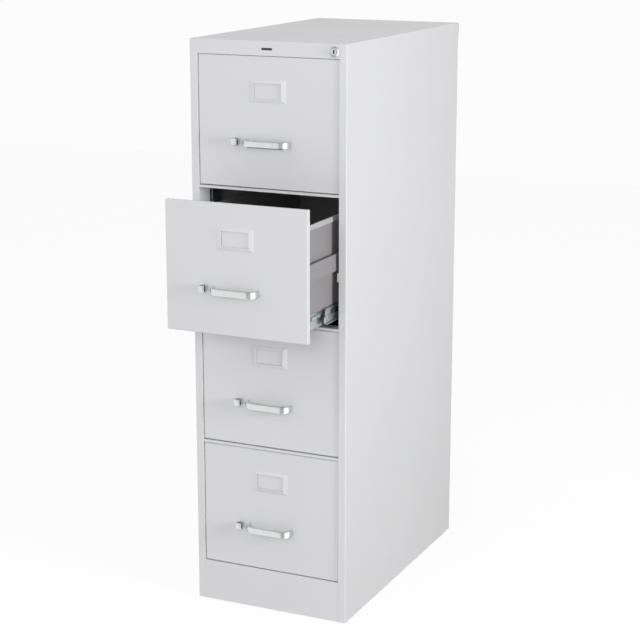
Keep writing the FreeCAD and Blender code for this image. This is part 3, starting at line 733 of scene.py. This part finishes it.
def middle_track(number):
    """Middle member: a channel round the drawer's track over one round the case's track."""
    low, high = in_mm(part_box(f"slide_middle_members_{number}"))
    base = low.z - MIDDLE_FOOT
    start = low.y
    near, far = 156.9, 165.8    # x where the upper and the lower flanges end
    section = [(WEB, MIDDLE_FOOT), (far, MIDDLE_FOOT), (far, 21.6), (far - LIP, 21.6),
               (far - LIP, MIDDLE_FOOT + STRAP), (WEB_OUTER, MIDDLE_FOOT + STRAP),
               (WEB_OUTER, MIDDLE_TOP - STRAP), (WEB_OUTER, MIDDLE_TOP), (near, MIDDLE_TOP), (near, 50.6),
               (near + LIP, 50.6), (near + LIP, MIDDLE_TOP - STRAP), (WEB, MIDDLE_TOP - STRAP)]
    radii = [1.2, 1.2, 0, 0, 0.5, 0.5, 0, 1.2, 1.2, 0, 0, 0.5, 0.5]
    mesh = bmesh.new()
    extrude_along_y(mesh, [(x, base + z) for x, z in rounded(section, radii)], start, high.y)
    # radius, distance behind the front end, and height of each hole
    holes = ((4.8, HOLE_ALONG, HOLE_UP), (2.0, 34, 24), (2.4, 120, 29), (2.4, 300, 29), (2.4, 480, 29))
    mesh = carved(mesh, [peg("x", (162, start + along, base + up), radius, 4)
                         for radius, along, up in holes])
    add_mesh(mesh, middle_shelf(near, far, start + 34, high.y, base))
    add_mesh(mesh, middle_nose(start, base))
    mirror_copy(mesh)
    piece = finish_mesh(f"middle_track_{number}", mesh, zinc, f"slide_middle_{number}", 35)
    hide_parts(f"slide_middle_members_{number}")
    stop_block(number, start, base)
    ball_cage_and_shade(number, start, high.y, base)


def middle_shelf(near, far, start, end, base):
    """Floor of the upper channel and roof of the lower one, through the web."""
    under, over = 36.5, 37.5
    inside, outside = WEB + 0.05, WEB_OUTER - 0.05
    arm = [(near, under), (inside, under), (outside, under), (far, under),
           (far, over), (outside, over), (inside, over), (near, over)]
    mesh = bmesh.new()
    outline = rounded(arm, [0.4, 0, 0, 0.4, 0.4, 0, 0, 0.4])
    extrude_along_y(mesh, [(x, base + z) for x, z in outline], start, end)
    return mesh


def middle_nose(start, base):
    """Rolled nose that curves forward at mid height."""
    steps = 14
    foot, tall = MIDDLE_FOOT + 0.4, 34.2
    loops = []
    for step in range(steps + 1):
        share = step / steps
        z = foot + tall * share
        reach = 10 * sin(pi * share) ** 0.7 if 0 < step < steps else 0
        edge = start - reach
        lip = 1.0 if z > 38 else 0.35    # the case's track passes outside the lower half
        ring = [(WEB, start + 0.5), (WEB, edge), (WEB + 0.6 * lip, edge - 1.0),
                (WEB + 1.7 * lip, edge - 1.3), (WEB + 2.6 * lip, edge - 0.8),
                (WEB + 0.2 + 2.6 * lip, edge + 0.2), (WEB + 0.4 + 1.8 * lip, edge + 0.4),
                (WEB + 0.6 + 0.8 * lip, edge + 0.5), (WEB_OUTER, edge + 0.8), (WEB_OUTER, start + 0.5)]
        loops.append([(x, y, base + z) for x, y in ring])
    mesh = bmesh.new()
    skin_loops(mesh, loops)
    return mesh


def stop_block(number, start, base):
    """Black plastic bumper ahead of the middle member, the stop in its round hole, and a rivet."""
    mesh = bmesh.new()
    # y from the member's front end, and height: the whole block, then its thicker upper part
    whole = [(-18.5, 22), (-11.6, 20), (-11.5, 52), (-17, 52), (-18.8, 44)]
    upper = [(-18.3, 38), (-11.6, 38), (-11.6, 51), (-17, 51)]
    for profile, corner, inner, outer in ((whole, 2.0, 161.3, 163.1), (upper, 1.5, 163.1 + SLIVER, 165.6)):
        outline = rounded([(start + y, base + z) for y, z in profile], corner)
        extrude_along_x(mesh, outline, inner, outer)
    mirror_copy(mesh)
    washer = peg("x", (161.45, start + HOLE_ALONG, base + HOLE_UP), 4.7, 0.8)
    mirrored = washer.copy()
    bmesh.ops.scale(mirrored, verts=mirrored.verts, vec=(-1, 1, 1))
    add_mesh(mesh, washer)
    add_mesh(mesh, mirrored)
    name = f"stop_block_{number}"
    finish_mesh(name, mesh, black_plastic_and_shade, f"slide_middle_{number}", 35)
    rivet = bmesh.new()
    # radius and x
    profile = ((2.6, 161.0), (2.6, 162.7), (2.2, 163.1), (1.2, 163.3))
    skin_loops(rivet, [[(x, start + HOLE_ALONG + y, base + HOLE_UP + z) for y, z in circle(size, 24)]
                       for size, x in profile])
    mirror_copy(rivet)
    finish_mesh(f"stop_rivet_{number}", rivet, zinc, f"slide_middle_{number}", 35)


def ball_cage_and_shade(number, start, rear, base):
    """Black strip outside the middle member's web, a retainer that is also painted shade for the recess,
    and two rows of balls in its upper channel.
    """
    mesh = bmesh.new()
    # painted shade: this black strip darkens the recess outside the web as well as standing for a ball
    # retainer
    strip = [(WEB_OUTER + 0.05, 38.0), (163.5, 38.0), (163.5, 47.0), (WEB_OUTER + 0.05, 47.0)]
    extrude_along_y(mesh, [(x, base + z) for x, z in rounded(strip, 0.4)], start + 25, rear - 60)
    mirror_copy(mesh)
    name = f"ball_cage_and_shade_{number}"
    finish_mesh(name, mesh, black_plastic_and_shade, f"slide_middle_{number}", 35)
    spacing = 9
    balls = bmesh.new()
    for index in range(12):
        for z in (39.35, 50.65):
            ball = bmesh.new()
            bmesh.ops.create_icosphere(ball, subdivisions=2, radius=1.75)
            move(ball, (158.7, start + 24 + spacing * index, base + z))
            add_mesh(balls, ball)
    mirror_copy(balls)
    name = f"slide_balls_{number}"
    finish_mesh(name, balls, chrome, f"slide_middle_{number}", 60)


def handle_screws(number):
    """Pan heads with a cross recess, inside the drawer behind the handle's two feet."""
    foot_across, foot_up = 53.5, 100
    base = drawer_corner(number).z
    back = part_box(f"drawer_liner_{number}")[1].y / MM
    long, short = 2, 0.5    # half length and half width of the recess's arms
    cross = [(-short, -long), (short, -long), (short, -short), (long, -short), (long, short),
             (short, short), (short, long), (-short, long), (-short, short), (-long, short),
             (-long, -short), (-short, -short)]
    mesh = bmesh.new()
    for side in (-1, 1):
        across, up = side * foot_across, base + foot_up
        head = bmesh.new()
        # radius, and distance behind the liner
        profile = ((4.1, 0.02), (4.1, 0.9), (3.7, 1.7), (2.7, 2.3), (1.2, 2.5))
        skin_loops(head, [[(across + x, back + out, up + z) for x, z in circle(size, 32)]
                          for size, out in profile])
        recess = bmesh.new()
        extrude_along_y(recess, [(across + x, up + z) for x, z in cross], back + 1, back + 4)
        add_mesh(mesh, carved(head, [recess]))
    finish_mesh(f"handle_screws_{number}", mesh, zinc, f"drawer_{number}", 35)


# ---------------------------------------------------------------- build
paint_frame()
second_paint("levelling_glides", zinc, lambda centre: centre.z > GLIDE_PAD_TOP * MM)
second_paint("lock_bar", nylon, lambda centre: centre.x < LUG_REACH * MM and centre.z < LUG_TOP * MM)
for number in DRAWERS:
    second_paint(f"side_extensions_{number}", rail_paint, lambda centre: abs(centre.x) > HEM_START * MM)
    bow_handle(number)
    label_frame(number)
    latch_button(number)
    drawer_track(number)
    middle_track(number)
    handle_screws(number)
badge_plate()
lock_collar()
lock_core()
set_camera()
set_world()
set_stage()
